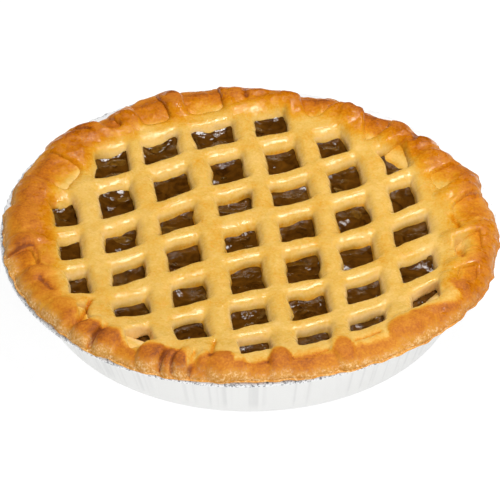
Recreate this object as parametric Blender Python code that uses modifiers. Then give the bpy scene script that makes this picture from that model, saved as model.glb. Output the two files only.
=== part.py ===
"""A whole lattice-topped apple pie in the foil tin it was baked in.

Four pieces, one inside the other: the foil tin, the pastry case that lines it and lies over its
flange, the apple filling, and the lattice sheet, cut from one piece of pastry, that is laid on top and
trimmed level with the tin. Metres, +Z up. The origin is the middle of the tin's flat base, at the
height of the table. The slanted row of strips runs along ROW_ANGLE, the steep ones along
COLUMN_ANGLE, and the front of the pie faces -Y.
"""
import math

import bmesh
import bpy

MM = 0.001

# The foil tin: a flat base, a sloping wall, a level flange and a rolled edge.
TIN_RADIUS = 114 * MM
TIN_HEIGHT = 32 * MM
TIN_BASE_RADIUS = 92.2 * MM
TIN_CORNER_RADIUS = 4.5 * MM
TIN_WALL_TOP_RADIUS = 106.5 * MM
TIN_BEAD_RADIUS = 1.3 * MM
CURL_POINTS = 4
CURL_TURN = math.radians(80)
FOIL = 0.5 * MM

# Pastry and filling.
GAP = 0.3 * MM
CASE_THICKNESS = 4.5 * MM
CASE_EDGE_RADIUS = 111.6 * MM
CASE_RIM_THICKNESS = 3.6 * MM
CASE_EDGE_FALL = 2.9 * MM
CASE_RIM_INNER_RADIUS = 99.5 * MM
CASE_EDGE_LIP = 0.5 * MM
CASE_EDGE_BEVEL = 0.6 * MM
CASE_CORNER_INSET = 2 * MM
CASE_CORNER_REACH = 1 * MM
CASE_CORNER_LIFT = 0.6 * MM
FILLING_TOP = 29.2 * MM
FILLING_CORNER_INSET = 3 * MM

# The lattice sheet: dished in the middle, climbing to a crest on the rim, then falling to the edge.
SHEET_THICKNESS = 5.0 * MM
SHEET_DISH = 1.6 * MM
CLIMB_START_RADIUS = 84 * MM
CREST_RADIUS = 103 * MM
CREST_RISE = 3.2 * MM
SHEET_EDGE_FALL = 4.4 * MM
SHEET_EDGE_RADIUS = 111.3 * MM
FALL_POWER = 1.35
SHEET_EDGE_BEVEL = 0.5 * MM
SHEET_EDGE_INSET = 1 * MM
SHEET_TOP_RADII = [r * MM for r in (0, 45, 84, 95, 103, 108)]
RIM_RADII = [r * MM for r in (99.5, 102.5, 106.5, 110.8)]
RIM_GAP = 0.45 * MM
INNER_RADII = [r * MM for r in (0, 45, 84, 92)]
WALL_HEIGHTS = [z * MM for z in (9, 20, 29)]

# The grid of openings.
ROW_ANGLE = math.radians(24.3)
COLUMN_ANGLE = math.radians(-83.8)
ROW_PITCH = 27.4 * MM
COLUMN_PITCH = 27.7 * MM
GRID_CENTRE = (-5.4 * MM, -13.4 * MM)
GRID_REACH = 6
CUTTER_FOOT = 27 * MM
CUTTER_HEAD = 48 * MM
ROW_STRIP_WIDTH = 10.2 * MM
COLUMN_STRIP_WIDTH = 8.6 * MM
OPENING_CORNER = 0.07
SHOULDER = 1.7 * MM
SHOULDER_FLARE = 1.4 * MM
BOTTOM_INSET = 0.8 * MM
ROW_WAVE = 1.9 * MM
ROW_WAVE_LENGTH = 108 * MM
ROW_WAVE_PHASE = 2.5
SQUEEZE = 0.26
SQUEEZE_START_RADIUS = 80 * MM
SQUEEZE_ANGLE = math.radians(235)
OPENING_LIMIT = 118 * MM
SMOOTH_SIDE_LIMIT = 99 * MM
SMOOTH_SIDE_ANGLE = math.radians(174)
SMOOTH_SIDE_SPREAD = math.radians(34)

# How each opening was pulled when the sheet was stretched over the pie, by row and column: its
# shift in x and y, and how much wider and deeper its half size is, in millimetres.
PULLED = {
    (-3, -2): (0.5, 1, -1.5, 1), (-3, -1): (1.5, 1, -1.5, 0.5), (-3, 0): (2, 1.5, -2, 1.5),
    (-3, 1): (0, 1, -6, -1),
    (-2, -4): (1, 3, -4, -4), (-2, -3): (1, 4, 0, 1.5), (-2, -2): (0, 1, -0.5, 2),
    (-2, -1): (0, -1.5, -0.5, 0.5), (-2, 0): (2, 1.5, -1, -1), (-2, 1): (-0.5, 1.5, 0.5, -0.5),
    (-2, 2): (-1, 0, -2, 0),
    (-1, -4): (-4, 0, -1.5, -1), (-1, -3): (-2.5, 1, 0.5, 0.5), (-1, -2): (1, 1, 0, 1.5),
    (-1, -1): (0, 1, 0.5, -0.5), (-1, 0): (1, 2, -0.5, 1), (-1, 1): (1, 1, -0.5, 0),
    (-1, 2): (-1.5, -2, -1, 1),
    (0, -4): (-4.5, -5, 0.5, 0), (0, -3): (-2.5, 0, 1, 0), (0, -2): (1.5, 0.5, -0.5, 1.5),
    (0, -1): (1.5, 1.5, -0.5, -1), (0, 0): (1.5, 3, -0.5, 0), (0, 1): (1.5, 1, -0.5, 2),
    (0, 2): (0, 0.5, 0, 0), (0, 3): (-1, 0.5, -0.5, 0.5), (0, 4): (0, -1, 1, 0),
    (1, -3): (0, 0, -0.5, 0), (1, -2): (2, 1, 0, 2.5), (1, -1): (2.5, 1, 0.5, -0.5),
    (1, 0): (2, 1.5, 0, 0.5), (1, 1): (2, 0, -0.5, 2), (1, 2): (1, -2.5, 0.5, 1.5),
    (1, 3): (1, -0.5, -0.5, 0), (1, 4): (0, -3, 1, 0),
    (2, -3): (-2, 5, -0.5, 2.5), (2, -2): (1.5, 3, -1, 1), (2, -1): (4, 4, 0, 2), (2, 0): (3, 1, 0, 1),
    (2, 1): (2, -2, 0, 1), (2, 2): (1.5, -2.5, 0, 0), (2, 3): (0, -2, 0, -1), (2, 4): (0, -3, 1, 0),
    (3, -2): (-4, 0, -2.5, -2), (3, -1): (3, 5, -2.5, 2), (3, 0): (1.5, 2, -2, 1.5),
    (3, 1): (1.5, 2, 0, -0.5), (3, 2): (1, 0, 0, 0), (3, 3): (3, 1.5, -1, -0.5),
    (4, 0): (2.5, 1, 3.5, 2), (4, 1): (5, 3, 3, 0.5), (4, 2): (0, 1, -2, -1), (4, 3): (-3, 6, -4, -3),
}
PULL_SPREAD = 0.36

# Openings on the rim that were pressed shut.
PRESSED_SHUT = {(-4, 0), (-4, 1), (-3, -4), (-3, -3), (-3, 2), (-2, -5), (-2, 3), (-1, -5), (-1, 3),
                (1, -4), (3, -3), (3, 4), (4, -1)}

# Unevenness: the light tin is a little out of round, and the rim's height strays. The crust's edge,
# trimmed and spread by hand, is given every ten degrees from +X round through +Y.
OUT_OF_ROUND = 0.0085
RIM_HEIGHT_STRAY = 0.10
RIM_HEIGHT_WAVES = ((3, 0.35, 0.8), (7, 0.35, 2.1), (13, 0.3, 4.4))
CRUST_EDGE = [r * MM for r in (
    113.0, 112.0, 113.0, 109.5, 109.0, 108.5, 108.5, 109.0, 108.0, 109.5, 110.0, 111.5,
    110.5, 109.0, 112.0, 113.0, 112.5, 112.5, 113.0, 113.0, 113.0, 113.0, 113.2, 113.4,
    113.4, 113.4, 113.4, 113.4, 113.0, 113.0, 113.4, 113.0, 113.4, 113.4, 113.4, 113.2)]
FLANGE_SEAT = (107.5 * MM, 110 * MM)
FULL_STRAY_HEIGHT = 1 * MM

TURN_STEPS = 40
MERGE = 0.00001
SHARP_ANGLE = math.radians(50)


# --- scene, materials and collections ---------------------------------------------------------

def clear_scene():
    for thing in list(bpy.data.objects):
        bpy.data.objects.remove(thing, do_unlink=True)


def new_collection(name):
    collection = bpy.data.collections.new(name)
    bpy.context.scene.collection.children.link(collection)
    return collection


def make_material(name, colour, roughness, metallic=0.0):
    material = bpy.data.materials.new(name)
    material.use_nodes = True
    shader = material.node_tree.nodes["Principled BSDF"]
    shader.inputs["Base Color"].default_value = (*colour, 1.0)
    shader.inputs["Roughness"].default_value = roughness
    shader.inputs["Metallic"].default_value = metallic
    material.diffuse_color = (*colour, 1.0)
    return material


# --- shared shape rules -----------------------------------------------------------------------

def smooth_step(value, start, end):
    t = min(max((value - start) / (end - start), 0.0), 1.0)
    return t * t * (3 - 2 * t)


def case_top(radius):
    """Height of the case's rim, a low pad that rounds down towards the tin's edge."""
    pad = TIN_HEIGHT + GAP + CASE_RIM_THICKNESS
    inner = smooth_step(radius, CASE_RIM_INNER_RADIUS, CREST_RADIUS)
    outer = max(radius - CREST_RADIUS, 0.0) / (CASE_EDGE_RADIUS - CREST_RADIUS)
    return pad - (1 - inner) * CASE_RIM_THICKNESS - CASE_EDGE_FALL * outer ** FALL_POWER


def sheet_top(radius):
    """Height of the lattice sheet's upper face."""
    middle = FILLING_TOP + GAP + SHEET_THICKNESS + SHEET_DISH * (radius / CLIMB_START_RADIUS) ** 2
    level = FILLING_TOP + GAP + SHEET_THICKNESS + SHEET_DISH
    climb = CREST_RISE * smooth_step(radius, CLIMB_START_RADIUS, CREST_RADIUS)
    outer = max(radius - CREST_RADIUS, 0.0) / (SHEET_EDGE_RADIUS - CREST_RADIUS)
    return min(middle, level) + climb - SHEET_EDGE_FALL * outer ** FALL_POWER


def sheet_bottom(radius):
    """Height of its lower face, which rests on the filling and then on the case's rim."""
    on_filling = FILLING_TOP + GAP + SHEET_DISH * min(radius / CLIMB_START_RADIUS, 1.0) ** 2
    if radius < CASE_RIM_INNER_RADIUS:
        return on_filling
    return case_top(radius) + RIM_GAP


def ripple(angle, waves):
    return sum(size * math.sin(count * angle + phase) for count, size, phase in waves)


def crust_edge(angle):
    """Radius of the crust's edge at an angle, between the nearest two in the table."""
    place = math.degrees(angle) % 360 * len(CRUST_EDGE) / 360
    first = int(place) % len(CRUST_EDGE)
    second = (first + 1) % len(CRUST_EDGE)
    part = place - int(place)
    return CRUST_EDGE[first] * (1 - part) + CRUST_EDGE[second] * part


def angle_between(a, b):
    return abs(math.atan2(math.sin(a - b), math.cos(a - b)))


def out_of_round(x, y, z):
    """Widen the tin's mouth on the left and narrow it on the right, and what is in it likewise."""
    angle = math.atan2(y, x)
    mouth = min(max(z / TIN_HEIGHT, 0.0), 1.0)
    scale = 1 + OUT_OF_ROUND * mouth * (math.cos(3 * angle) - math.cos(angle))
    return x * scale, y * scale, z


def stray(x, y, z):
    """Move a point of the pastry's rim to where uneven baking and trimming leave it.

    Nothing below the flange moves, nor does the inner part of the seat, so the case still fits the tin.
    """
    radius = math.hypot(x, y)
    angle = math.atan2(y, x)
    above = max(z - TIN_HEIGHT - GAP, 0.0)
    on_rim = smooth_step(radius, CLIMB_START_RADIUS, CREST_RADIUS)
    z += above * RIM_HEIGHT_STRAY * ripple(angle, RIM_HEIGHT_WAVES) * on_rim
    free = max(min(above / FULL_STRAY_HEIGHT, 1.0), smooth_step(radius, *FLANGE_SEAT))
    grow = crust_edge(angle) - SHEET_EDGE_RADIUS
    grow *= free * smooth_step(radius, CREST_RADIUS, SHEET_EDGE_RADIUS)
    scale = (radius + grow) / radius if radius else 1.0
    return x * scale, y * scale, z


# --- mesh helpers -----------------------------------------------------------------------------

def turn(name, profile, collection):
    """Turn a profile of (radius, height) points round Z with a Screw modifier."""
    mesh = bpy.data.meshes.new(name)
    points = [(radius, 0.0, height) for radius, height in profile]
    mesh.from_pydata(points, [(i, i + 1) for i in range(len(points) - 1)], [])
    turned = bpy.data.objects.new(name, mesh)
    collection.objects.link(turned)
    screw = turned.modifiers.new("Turn", "SCREW")
    screw.axis = "Z"
    screw.steps = TURN_STEPS
    screw.render_steps = TURN_STEPS
    screw.use_merge_vertices = True
    screw.merge_threshold = MERGE
    screw.use_smooth_shade = True
    return turned


def settle(thing):
    """Replace the object's mesh by its evaluated one, with a plain disc where its fans of faces met."""
    graph = bpy.context.evaluated_depsgraph_get()
    graph.update()
    baked = bpy.data.meshes.new_from_object(thing.evaluated_get(graph))
    mesh = bmesh.new()
    mesh.from_mesh(baked)
    on_axis = [vertex for vertex in mesh.verts if math.hypot(vertex.co.x, vertex.co.y) < MERGE]
    bmesh.ops.dissolve_verts(mesh, verts=on_axis)
    mesh.to_mesh(baked)
    mesh.free()
    baked.name = thing.name
    thing.modifiers.clear()
    thing.data = baked


def move_points(thing, *moves):
    for vertex in thing.data.vertices:
        for move in moves:
            vertex.co = move(*vertex.co)


def finish(thing, material):
    thing.data.materials.clear()
    thing.data.materials.append(material)
    thing.data.shade_smooth()
    thing.data.set_sharp_from_angle(angle=SHARP_ANGLE)


# --- the tin ----------------------------------------------------------------------------------

def tin_corner():
    """The rounded corner between base and wall, from the base up."""
    slope = math.atan2(TIN_HEIGHT, TIN_WALL_TOP_RADIUS - TIN_BASE_RADIUS)
    points = []
    for part in (0.0, 0.5, 1.0):
        angle = slope * part
        points.append((TIN_BASE_RADIUS + TIN_CORNER_RADIUS * math.sin(angle),
                       TIN_CORNER_RADIUS * (1 - math.cos(angle))))
    return points


def wall_radius(height, inset):
    """Radius of the tin's outer face at a height up its wall, less an inset."""
    foot_radius, foot_height = tin_corner()[-1]
    t = (height - foot_height) / (TIN_HEIGHT - FOIL - foot_height)
    return foot_radius + (TIN_WALL_TOP_RADIUS - foot_radius) * t - inset


def tin_profile():
    """The tin's underside: base, corner, wall, flange and the inside of the rolled edge."""
    points = [(0.0, 0.0)] + tin_corner() + [(TIN_WALL_TOP_RADIUS, TIN_HEIGHT - FOIL)]
    curl = TIN_BEAD_RADIUS - FOIL
    for step in range(CURL_POINTS):
        angle = math.pi / 2 - CURL_TURN * step
        points.append((TIN_RADIUS - TIN_BEAD_RADIUS + curl * math.cos(angle),
                       TIN_HEIGHT - TIN_BEAD_RADIUS + curl * math.sin(angle)))
    return points


def build_tin(collection, material):
    tin = turn("foil_tin", tin_profile(), collection)
    shell = tin.modifiers.new("Foil", "SOLIDIFY")
    shell.thickness = FOIL
    shell.offset = 1.0
    shell.use_even_offset = True
    settle(tin)
    move_points(tin, out_of_round)
    finish(tin, material)
    return tin


# --- the pastry case --------------------------------------------------------------------------

def case_profile():
    floor = FOIL + GAP
    outer_inset = FOIL + 2 * GAP
    inner_inset = outer_inset + CASE_THICKNESS
    inside = floor + CASE_THICKNESS
    seat = TIN_HEIGHT + GAP
    points = [(0.0, inside), (TIN_BASE_RADIUS - inner_inset - CASE_CORNER_INSET, inside)]
    points += [(wall_radius(height, inner_inset), height) for height in WALL_HEIGHTS]
    points += [(radius, case_top(radius)) for radius in RIM_RADII]
    points.append((CASE_EDGE_RADIUS, seat + CASE_EDGE_LIP))
    points.append((CASE_EDGE_RADIUS - CASE_EDGE_BEVEL, seat))
    points.append((wall_radius(TIN_HEIGHT, FOIL), seat))
    points += [(wall_radius(height, outer_inset), height) for height in reversed(WALL_HEIGHTS)]
    points.append((TIN_BASE_RADIUS + CASE_CORNER_REACH, floor + CASE_CORNER_LIFT))
    points.append((TIN_BASE_RADIUS - CASE_CORNER_INSET, floor))
    points.append((0.0, floor))
    return points


def build_case(collection, material):
    case = turn("pastry_case", case_profile(), collection)
    settle(case)
    move_points(case, stray, out_of_round)
    finish(case, material)
    return case


# --- the filling ------------------------------------------------------------------------------

def filling_profile():
    floor = FOIL + 2 * GAP + CASE_THICKNESS
    inset = FOIL + 4 * GAP + CASE_THICKNESS
    points = [(radius, sheet_bottom(radius) - GAP) for radius in INNER_RADII]
    points += [(wall_radius(height, inset), height) for height in reversed(WALL_HEIGHTS)]
    points.append((TIN_BASE_RADIUS - inset - FILLING_CORNER_INSET, floor))
    points.append((0.0, floor))
    return points


def build_filling(collection, material):
    filling = turn("apple_filling", filling_profile(), collection)
    settle(filling)
    move_points(filling, out_of_round)
    finish(filling, material)
    return filling


# --- the lattice ------------------------------------------------------------------------------

def grid_point(row, column):
    """Plan position of a point of the even grid of openings, whole numbers being opening centres."""
    along_row = row * ROW_PITCH
    along_column = column * COLUMN_PITCH
    x = GRID_CENTRE[0] + along_row * math.cos(ROW_ANGLE) + along_column * math.cos(COLUMN_ANGLE)
    y = GRID_CENTRE[1] + along_row * math.sin(ROW_ANGLE) + along_column * math.sin(COLUMN_ANGLE)
    y += ROW_WAVE * math.sin(2 * math.pi * x / ROW_WAVE_LENGTH + ROW_WAVE_PHASE)
    radius = math.hypot(x, y)
    beyond = max(radius - SQUEEZE_START_RADIUS, 0.0)
    side = 0.5 + 0.5 * math.cos(math.atan2(y, x) - SQUEEZE_ANGLE)
    scale = (radius - SQUEEZE * side * beyond) / radius
    return x * scale, y * scale


def pull(row, column):
    """How far the sheet was pulled in x and y at a point of the grid, blended from the openings round it."""
    total = 0.0
    pull_x = 0.0
    pull_y = 0.0
    for i in range(math.floor(row) - 1, math.floor(row) + 3):
        for j in range(math.floor(column) - 1, math.floor(column) + 3):
            weight = math.exp(-((row - i) ** 2 + (column - j) ** 2) / (2 * PULL_SPREAD ** 2))
            shift_x, shift_y = PULLED.get((i, j), (0, 0, 0, 0))[:2]
            total += weight
            pull_x += weight * shift_x * MM
            pull_y += weight * shift_y * MM
    return pull_x / total, pull_y / total


def has_opening(row, column):
    """Openings are cut out to the rim, save those pressed shut there and along the smooth side."""
    if (row, column) in PRESSED_SHUT:
        return False
    x, y = grid_point(row, column)
    on_smooth_side = angle_between(math.atan2(y, x), SMOOTH_SIDE_ANGLE) < SMOOTH_SIDE_SPREAD
    limit = SMOOTH_SIDE_LIMIT if on_smooth_side else OPENING_LIMIT
    return math.hypot(x, y) < limit


def opening_ring(mesh, row, column, inset, below_top=0.0, height=None):
    """One ring of a cutter, a rhombus with cut corners.

    It lies at a depth below the sheet's upper face or, where a height is given, level at that height.
    """
    slant = math.sin(ROW_ANGLE - COLUMN_ANGLE)
    wider, deeper = PULLED.get((row, column), (0, 0, 0, 0))[2:]
    wide = 0.5 - (COLUMN_STRIP_WIDTH / 2 + inset - wider * MM) / (ROW_PITCH * slant)
    deep = 0.5 - (ROW_STRIP_WIDTH / 2 + inset - deeper * MM) / (COLUMN_PITCH * slant)
    cut_wide = wide - OPENING_CORNER
    cut_deep = deep - OPENING_CORNER
    outline = ((cut_wide, -deep), (wide, -cut_deep), (wide, cut_deep), (cut_wide, deep),
               (-cut_wide, deep), (-wide, cut_deep), (-wide, -cut_deep), (-cut_wide, -deep))
    ring = []
    for along, across in outline:
        x, y = grid_point(row + along, column - across)
        pull_x, pull_y = pull(row + along, column - across)
        x += pull_x
        y += pull_y
        level = sheet_top(min(math.hypot(x, y), SHEET_EDGE_RADIUS)) - below_top
        x, y, z = out_of_round(*stray(x, y, level))
        ring.append(mesh.verts.new((x, y, z if height is None else height)))
    return ring


def add_cutter(mesh, row, column):
    """A plug that flares at the top, so that the strips it leaves have rounded shoulders."""
    rings = [opening_ring(mesh, row, column, BOTTOM_INSET, height=CUTTER_FOOT),
             opening_ring(mesh, row, column, 0.0, below_top=SHOULDER),
             opening_ring(mesh, row, column, -SHOULDER_FLARE),
             opening_ring(mesh, row, column, -SHOULDER_FLARE, height=CUTTER_HEAD)]
    mesh.faces.new(reversed(rings[0]))
    mesh.faces.new(rings[-1])
    for lower, upper in zip(rings, rings[1:]):
        for i in range(len(lower)):
            j = (i + 1) % len(lower)
            mesh.faces.new((lower[i], lower[j], upper[j], upper[i]))


def build_cutters(collection):
    mesh = bmesh.new()
    for row in range(-GRID_REACH, GRID_REACH + 1):
        for column in range(-GRID_REACH, GRID_REACH + 1):
            if has_opening(row, column):
                add_cutter(mesh, row, column)
    bmesh.ops.recalc_face_normals(mesh, faces=mesh.faces)
    data = bpy.data.meshes.new("openings")
    mesh.to_mesh(data)
    mesh.free()
    cutters = bpy.data.objects.new("openings", data)
    cutters.hide_render = True
    cutters.display_type = "WIRE"
    collection.objects.link(cutters)
    return cutters


def lattice_profile():
    top_radii = SHEET_TOP_RADII + [SHEET_EDGE_RADIUS - SHEET_EDGE_INSET]
    points = [(radius, sheet_top(radius)) for radius in top_radii]
    points.append((SHEET_EDGE_RADIUS, sheet_top(SHEET_EDGE_RADIUS) - SHEET_EDGE_BEVEL))
    points += [(radius, sheet_bottom(radius)) for radius in reversed(RIM_RADII)]
    points += [(radius, sheet_bottom(radius)) for radius in reversed(INNER_RADII)]
    return points


def build_lattice(collection, cutter_collection, material):
    lattice = turn("lattice_top", lattice_profile(), collection)
    settle(lattice)
    move_points(lattice, stray, out_of_round)
    finish(lattice, material)
    cut = lattice.modifiers.new("Openings", "BOOLEAN")
    cut.operation = "DIFFERENCE"
    cut.solver = "EXACT"
    cut.object = build_cutters(cutter_collection)
    return lattice


# --- the pie ----------------------------------------------------------------------------------

def main():
    clear_scene()
    pie = new_collection("lattice_apple_pie")
    cutters = new_collection("cutters")
    foil = make_material("foil", (0.83, 0.83, 0.83), 0.28, metallic=1.0)
    crust = make_material("browned_crust", (0.60, 0.22, 0.045), 0.5)
    golden = make_material("golden_pastry", (0.80, 0.46, 0.12), 0.45)
    jelly = make_material("dark_apple_jelly", (0.075, 0.022, 0.004), 0.12)
    build_tin(pie, foil)
    build_case(pie, crust)
    build_filling(pie, jelly)
    build_lattice(pie, cutters, golden)


main()
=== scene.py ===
"""The looks of a lattice apple pie in its foil tin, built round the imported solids.

The pastry, the filling and the foil are made as fine meshes. Lengths in the shape rules are in
millimetres, and only the finished meshes are in metres.
"""
import itertools
import math

import bpy
import numpy as np
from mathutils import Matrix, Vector


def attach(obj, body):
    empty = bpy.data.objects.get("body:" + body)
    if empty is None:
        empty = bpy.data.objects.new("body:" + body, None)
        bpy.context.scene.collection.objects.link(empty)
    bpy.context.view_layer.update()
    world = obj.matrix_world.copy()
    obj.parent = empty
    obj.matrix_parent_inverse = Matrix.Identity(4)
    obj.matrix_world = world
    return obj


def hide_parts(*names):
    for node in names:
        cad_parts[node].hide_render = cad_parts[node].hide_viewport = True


MM = 0.001

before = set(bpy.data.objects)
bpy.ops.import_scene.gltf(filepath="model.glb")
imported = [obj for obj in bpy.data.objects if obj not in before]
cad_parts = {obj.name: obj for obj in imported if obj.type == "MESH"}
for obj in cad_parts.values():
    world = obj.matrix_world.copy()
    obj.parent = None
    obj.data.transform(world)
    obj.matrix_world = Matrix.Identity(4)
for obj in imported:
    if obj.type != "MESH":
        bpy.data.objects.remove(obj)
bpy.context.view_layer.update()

# The pie's own sizes, as in the solids.
TIN_RADIUS = 114.0
TIN_HEIGHT = 32.0
TIN_BASE_RADIUS = 92.2
TIN_CORNER_RADIUS = 4.5
TIN_TOP_RADIUS = 106.5
TIN_BEAD_RADIUS = 1.3
FOIL = 0.5
GAP = 0.3
CASE_THICKNESS = 4.5
CASE_RADIUS = 111.6
CASE_RIM_THICKNESS = 3.6
CASE_EDGE_FALL = 2.9
CASE_RIM_RADIUS = 99.5
FILLING_TOP = 29.2
SHEET_THICKNESS = 5.0
SHEET_DISH = 1.6
CLIMB_RADIUS = 84.0
CREST_RADIUS = 103.0
CREST_RISE = 3.2
SHEET_EDGE_FALL = 4.4
SHEET_RADIUS = 111.3
FALL_POWER = 1.35
OUT_OF_ROUND = 0.0085
TIN_SLOPE = math.atan2(TIN_HEIGHT, TIN_TOP_RADIUS - TIN_BASE_RADIUS)
TIN_FLANGE = (108, 109.5, 111)
PRESSED_IN = 0.3
PRESSED_IN_CASE = 0.4

# The grid of openings.
ROW_ANGLE = math.radians(24.3)
COLUMN_ANGLE = math.radians(-83.8)
ROW_PITCH = 27.4
COLUMN_PITCH = 27.7
GRID_CENTRE = (-5.4, -13.4)
GRID_REACH = 6
PLACES = list(itertools.product(range(-GRID_REACH, GRID_REACH + 1), repeat=2))
ROW_STRIP_WIDTH = 10.2
COLUMN_STRIP_WIDTH = 8.6
ROW_WAVE = 1.9
ROW_WAVE_LENGTH = 108.0
ROW_WAVE_PHASE = 2.5
SQUEEZE = 0.26
SQUEEZE_RADIUS = 80.0
SQUEEZE_ANGLE = math.radians(235)
OPENING_LIMIT = 118.0
SMOOTH_SIDE_LIMIT = 99.0
SMOOTH_SIDE_ANGLE = math.radians(174)
SMOOTH_SIDE_SPREAD = math.radians(34)
SLANT = math.sin(ROW_ANGLE - COLUMN_ANGLE)
# The radius within which places pull at the sheet, and how far their pull reaches, in pitches.
GRID_LIMIT = 140
STRETCH_SPREAD = 0.36

# The finish of the pastry: the openings' walls, the strips' crowns and the pressed rim.
OPENING_CORNER = 1.6
WALL_LEAN = 0.22
SHOULDER = 3.3
STRIP_CROWN = 0.36
CREST_LIMIT = 39.5
RIM_START = 90.0
LUMP_POWER = 4.5
FOLD_POWER = 1.2
NOTCH_CORNER = 4
SLOPE_FOOT = 27.5
SLOPE_TOP_RADIUS = 101
# A distance that stands for no edge near by, and the length of a degree at a radius of 100.
NO_EDGE = 20.0
MM_PER_DEGREE = 1.745
# Ripples of the crust's outer edge: height, number round the pie, and phase.
RIPPLES = ((0.3, 37, 1.1), (0.25, 61, 3.0), (0.2, 89, 0.3))
# Where the points of the case's rounded edge stand, in degrees.
EDGE_TURNS = range(75, -76, -25)

# The slices of apple.
SLICE_COUNT = 120
SLICE_SPACING = 13.5
SLICE_REACH = 88
SLICE_LIMIT = 93
SLICE_RINGS = 22
SLICE_SIDES = 14

# How finely the shapes are made.
NOISE_CELLS = 32
PLAN_STEP = 0.4
PLAN_REACH = 121.0
LATTICE_STEP = 1.04
JELLY_STEP = 1.25
CASE_STEPS = 640
TIN_STEPS = 720

# The camera, the floor and the lamps: place, size and power.
CAMERA_TILT = math.radians(36.66)
CAMERA_DISTANCE = 1.6
CAMERA_AIM = 0.018
CAMERA_LENS = 250.74
FLOOR_REACH = 3000
LAMPS = {
    "overhead": ((0.32, 0.03, 0.93), 0.28, 7.6), "front_fill": ((0.1, -1.4, 1), 1.6, 6.5),
    "front_glint": ((0.2, -1.35, 1.05), 0.2, 1), "back_glint": ((0.15, 0.5, 0.87), 0.12, 1.2),
}


# --- numbers ---

def ease(value, start, end):
    """Smooth step from 0 at the start to 1 at the end."""
    t = np.clip((value - start) / (end - start), 0.0, 1.0)
    return t * t * (3 - 2 * t)


def turn_between(a, b):
    return np.arctan2(np.sin(a - b), np.cos(a - b))


def polar(x, y):
    return np.hypot(x, y), np.arctan2(y, x)


def outside(a, b):
    """Distance from a square corner, from the distances past its two sides."""
    return np.hypot(np.maximum(a, 0), np.maximum(b, 0)) + np.minimum(np.maximum(a, b), 0)


def at_heading(angle, table, line=1):
    """A table's value at an angle. The table's first line has the headings in degrees."""
    return np.interp(np.degrees(angle) % 360, table[0], table[line])


def noise(points, size, seed):
    """Smooth noise from -1 to 1 at an array of points, with features about `size` across."""
    table = np.random.RandomState(seed).uniform(-1, 1, (NOISE_CELLS,) * 3)
    scaled = points / size
    cell = np.floor(scaled).astype(int)
    part = scaled - cell
    part = part * part * part * (part * (part * 6 - 15) + 10)
    total = 0.0
    for corner in np.ndindex(2, 2, 2):
        a, b, c = [part[..., k] if corner[k] else 1 - part[..., k] for k in range(3)]
        place = tuple((cell[..., k] + corner[k]) % NOISE_CELLS for k in range(3))
        total = total + a * b * c * table[place]
    return total


def uneven(x, y, size, seed):
    """Noise over the plan."""
    return noise(np.stack([x, y, np.full_like(x, 0.37 * size)], axis=-1), size, seed)


# --- shape rules shared with the solids ---

def case_top(radius):
    pad = TIN_HEIGHT + GAP + CASE_RIM_THICKNESS
    inner = ease(radius, CASE_RIM_RADIUS, CREST_RADIUS)
    outer = np.maximum(radius - CREST_RADIUS, 0.0) / (CASE_RADIUS - CREST_RADIUS)
    return pad - (1 - inner) * CASE_RIM_THICKNESS - CASE_EDGE_FALL * outer ** FALL_POWER


def sheet_top(radius):
    level = FILLING_TOP + GAP + SHEET_THICKNESS + SHEET_DISH
    middle = level - SHEET_DISH + SHEET_DISH * (radius / CLIMB_RADIUS) ** 2
    climb = CREST_RISE * ease(radius, CLIMB_RADIUS, CREST_RADIUS)
    outer = np.maximum(radius - CREST_RADIUS, 0.0) / (SHEET_RADIUS - CREST_RADIUS)
    return np.minimum(middle, level) + climb - SHEET_EDGE_FALL * outer ** FALL_POWER


def sheet_bottom(radius):
    on_filling = FILLING_TOP + GAP + SHEET_DISH * np.minimum(radius / CLIMB_RADIUS, 1.0) ** 2
    on_case = case_top(radius) - PRESSED_IN_CASE
    return np.where(radius < CASE_RIM_RADIUS, on_filling - PRESSED_IN, on_case)


def roundness(angle, share=1.0):
    """How far the tin is out of round at an angle, as a share of what its mouth is."""
    return 1 + OUT_OF_ROUND * share * (np.cos(3 * angle) - np.cos(angle))


def grid_coordinates(x, y):
    """Row and column of a point of the plan, whole numbers being the middles of openings."""
    angle = np.arctan2(y, x)
    radius = np.hypot(x, y) / roundness(angle)
    side = SQUEEZE * (0.5 + 0.5 * np.cos(angle - SQUEEZE_ANGLE))
    radius = np.where(radius > SQUEEZE_RADIUS,
                      (radius - SQUEEZE_RADIUS * side) / (1 - side), radius)
    x = radius * np.cos(angle)
    y = radius * np.sin(angle) - ROW_WAVE * np.sin(2 * np.pi * x / ROW_WAVE_LENGTH + ROW_WAVE_PHASE)
    x = x - GRID_CENTRE[0]
    y = y - GRID_CENTRE[1]
    det = math.sin(COLUMN_ANGLE - ROW_ANGLE)
    row = (x * math.sin(COLUMN_ANGLE) - y * math.cos(COLUMN_ANGLE)) / (det * ROW_PITCH)
    column = (y * math.cos(ROW_ANGLE) - x * math.sin(ROW_ANGLE)) / (det * COLUMN_PITCH)
    return row, column


def grid_point(row, column):
    """The point of the plan at a row and column, which undoes grid_coordinates."""
    x, y = [centre + row * ROW_PITCH * turn(ROW_ANGLE) + column * COLUMN_PITCH * turn(COLUMN_ANGLE)
            for centre, turn in zip(GRID_CENTRE, (math.cos, math.sin))]
    y += ROW_WAVE * math.sin(2 * math.pi * x / ROW_WAVE_LENGTH + ROW_WAVE_PHASE)
    radius = math.hypot(x, y)
    beyond = max(radius - SQUEEZE_RADIUS, 0.0)
    side = 0.5 + 0.5 * math.cos(math.atan2(y, x) - SQUEEZE_ANGLE)
    scale = (radius - SQUEEZE * side * beyond) / radius
    return x * scale, y * scale


# --- meshes ---

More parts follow.
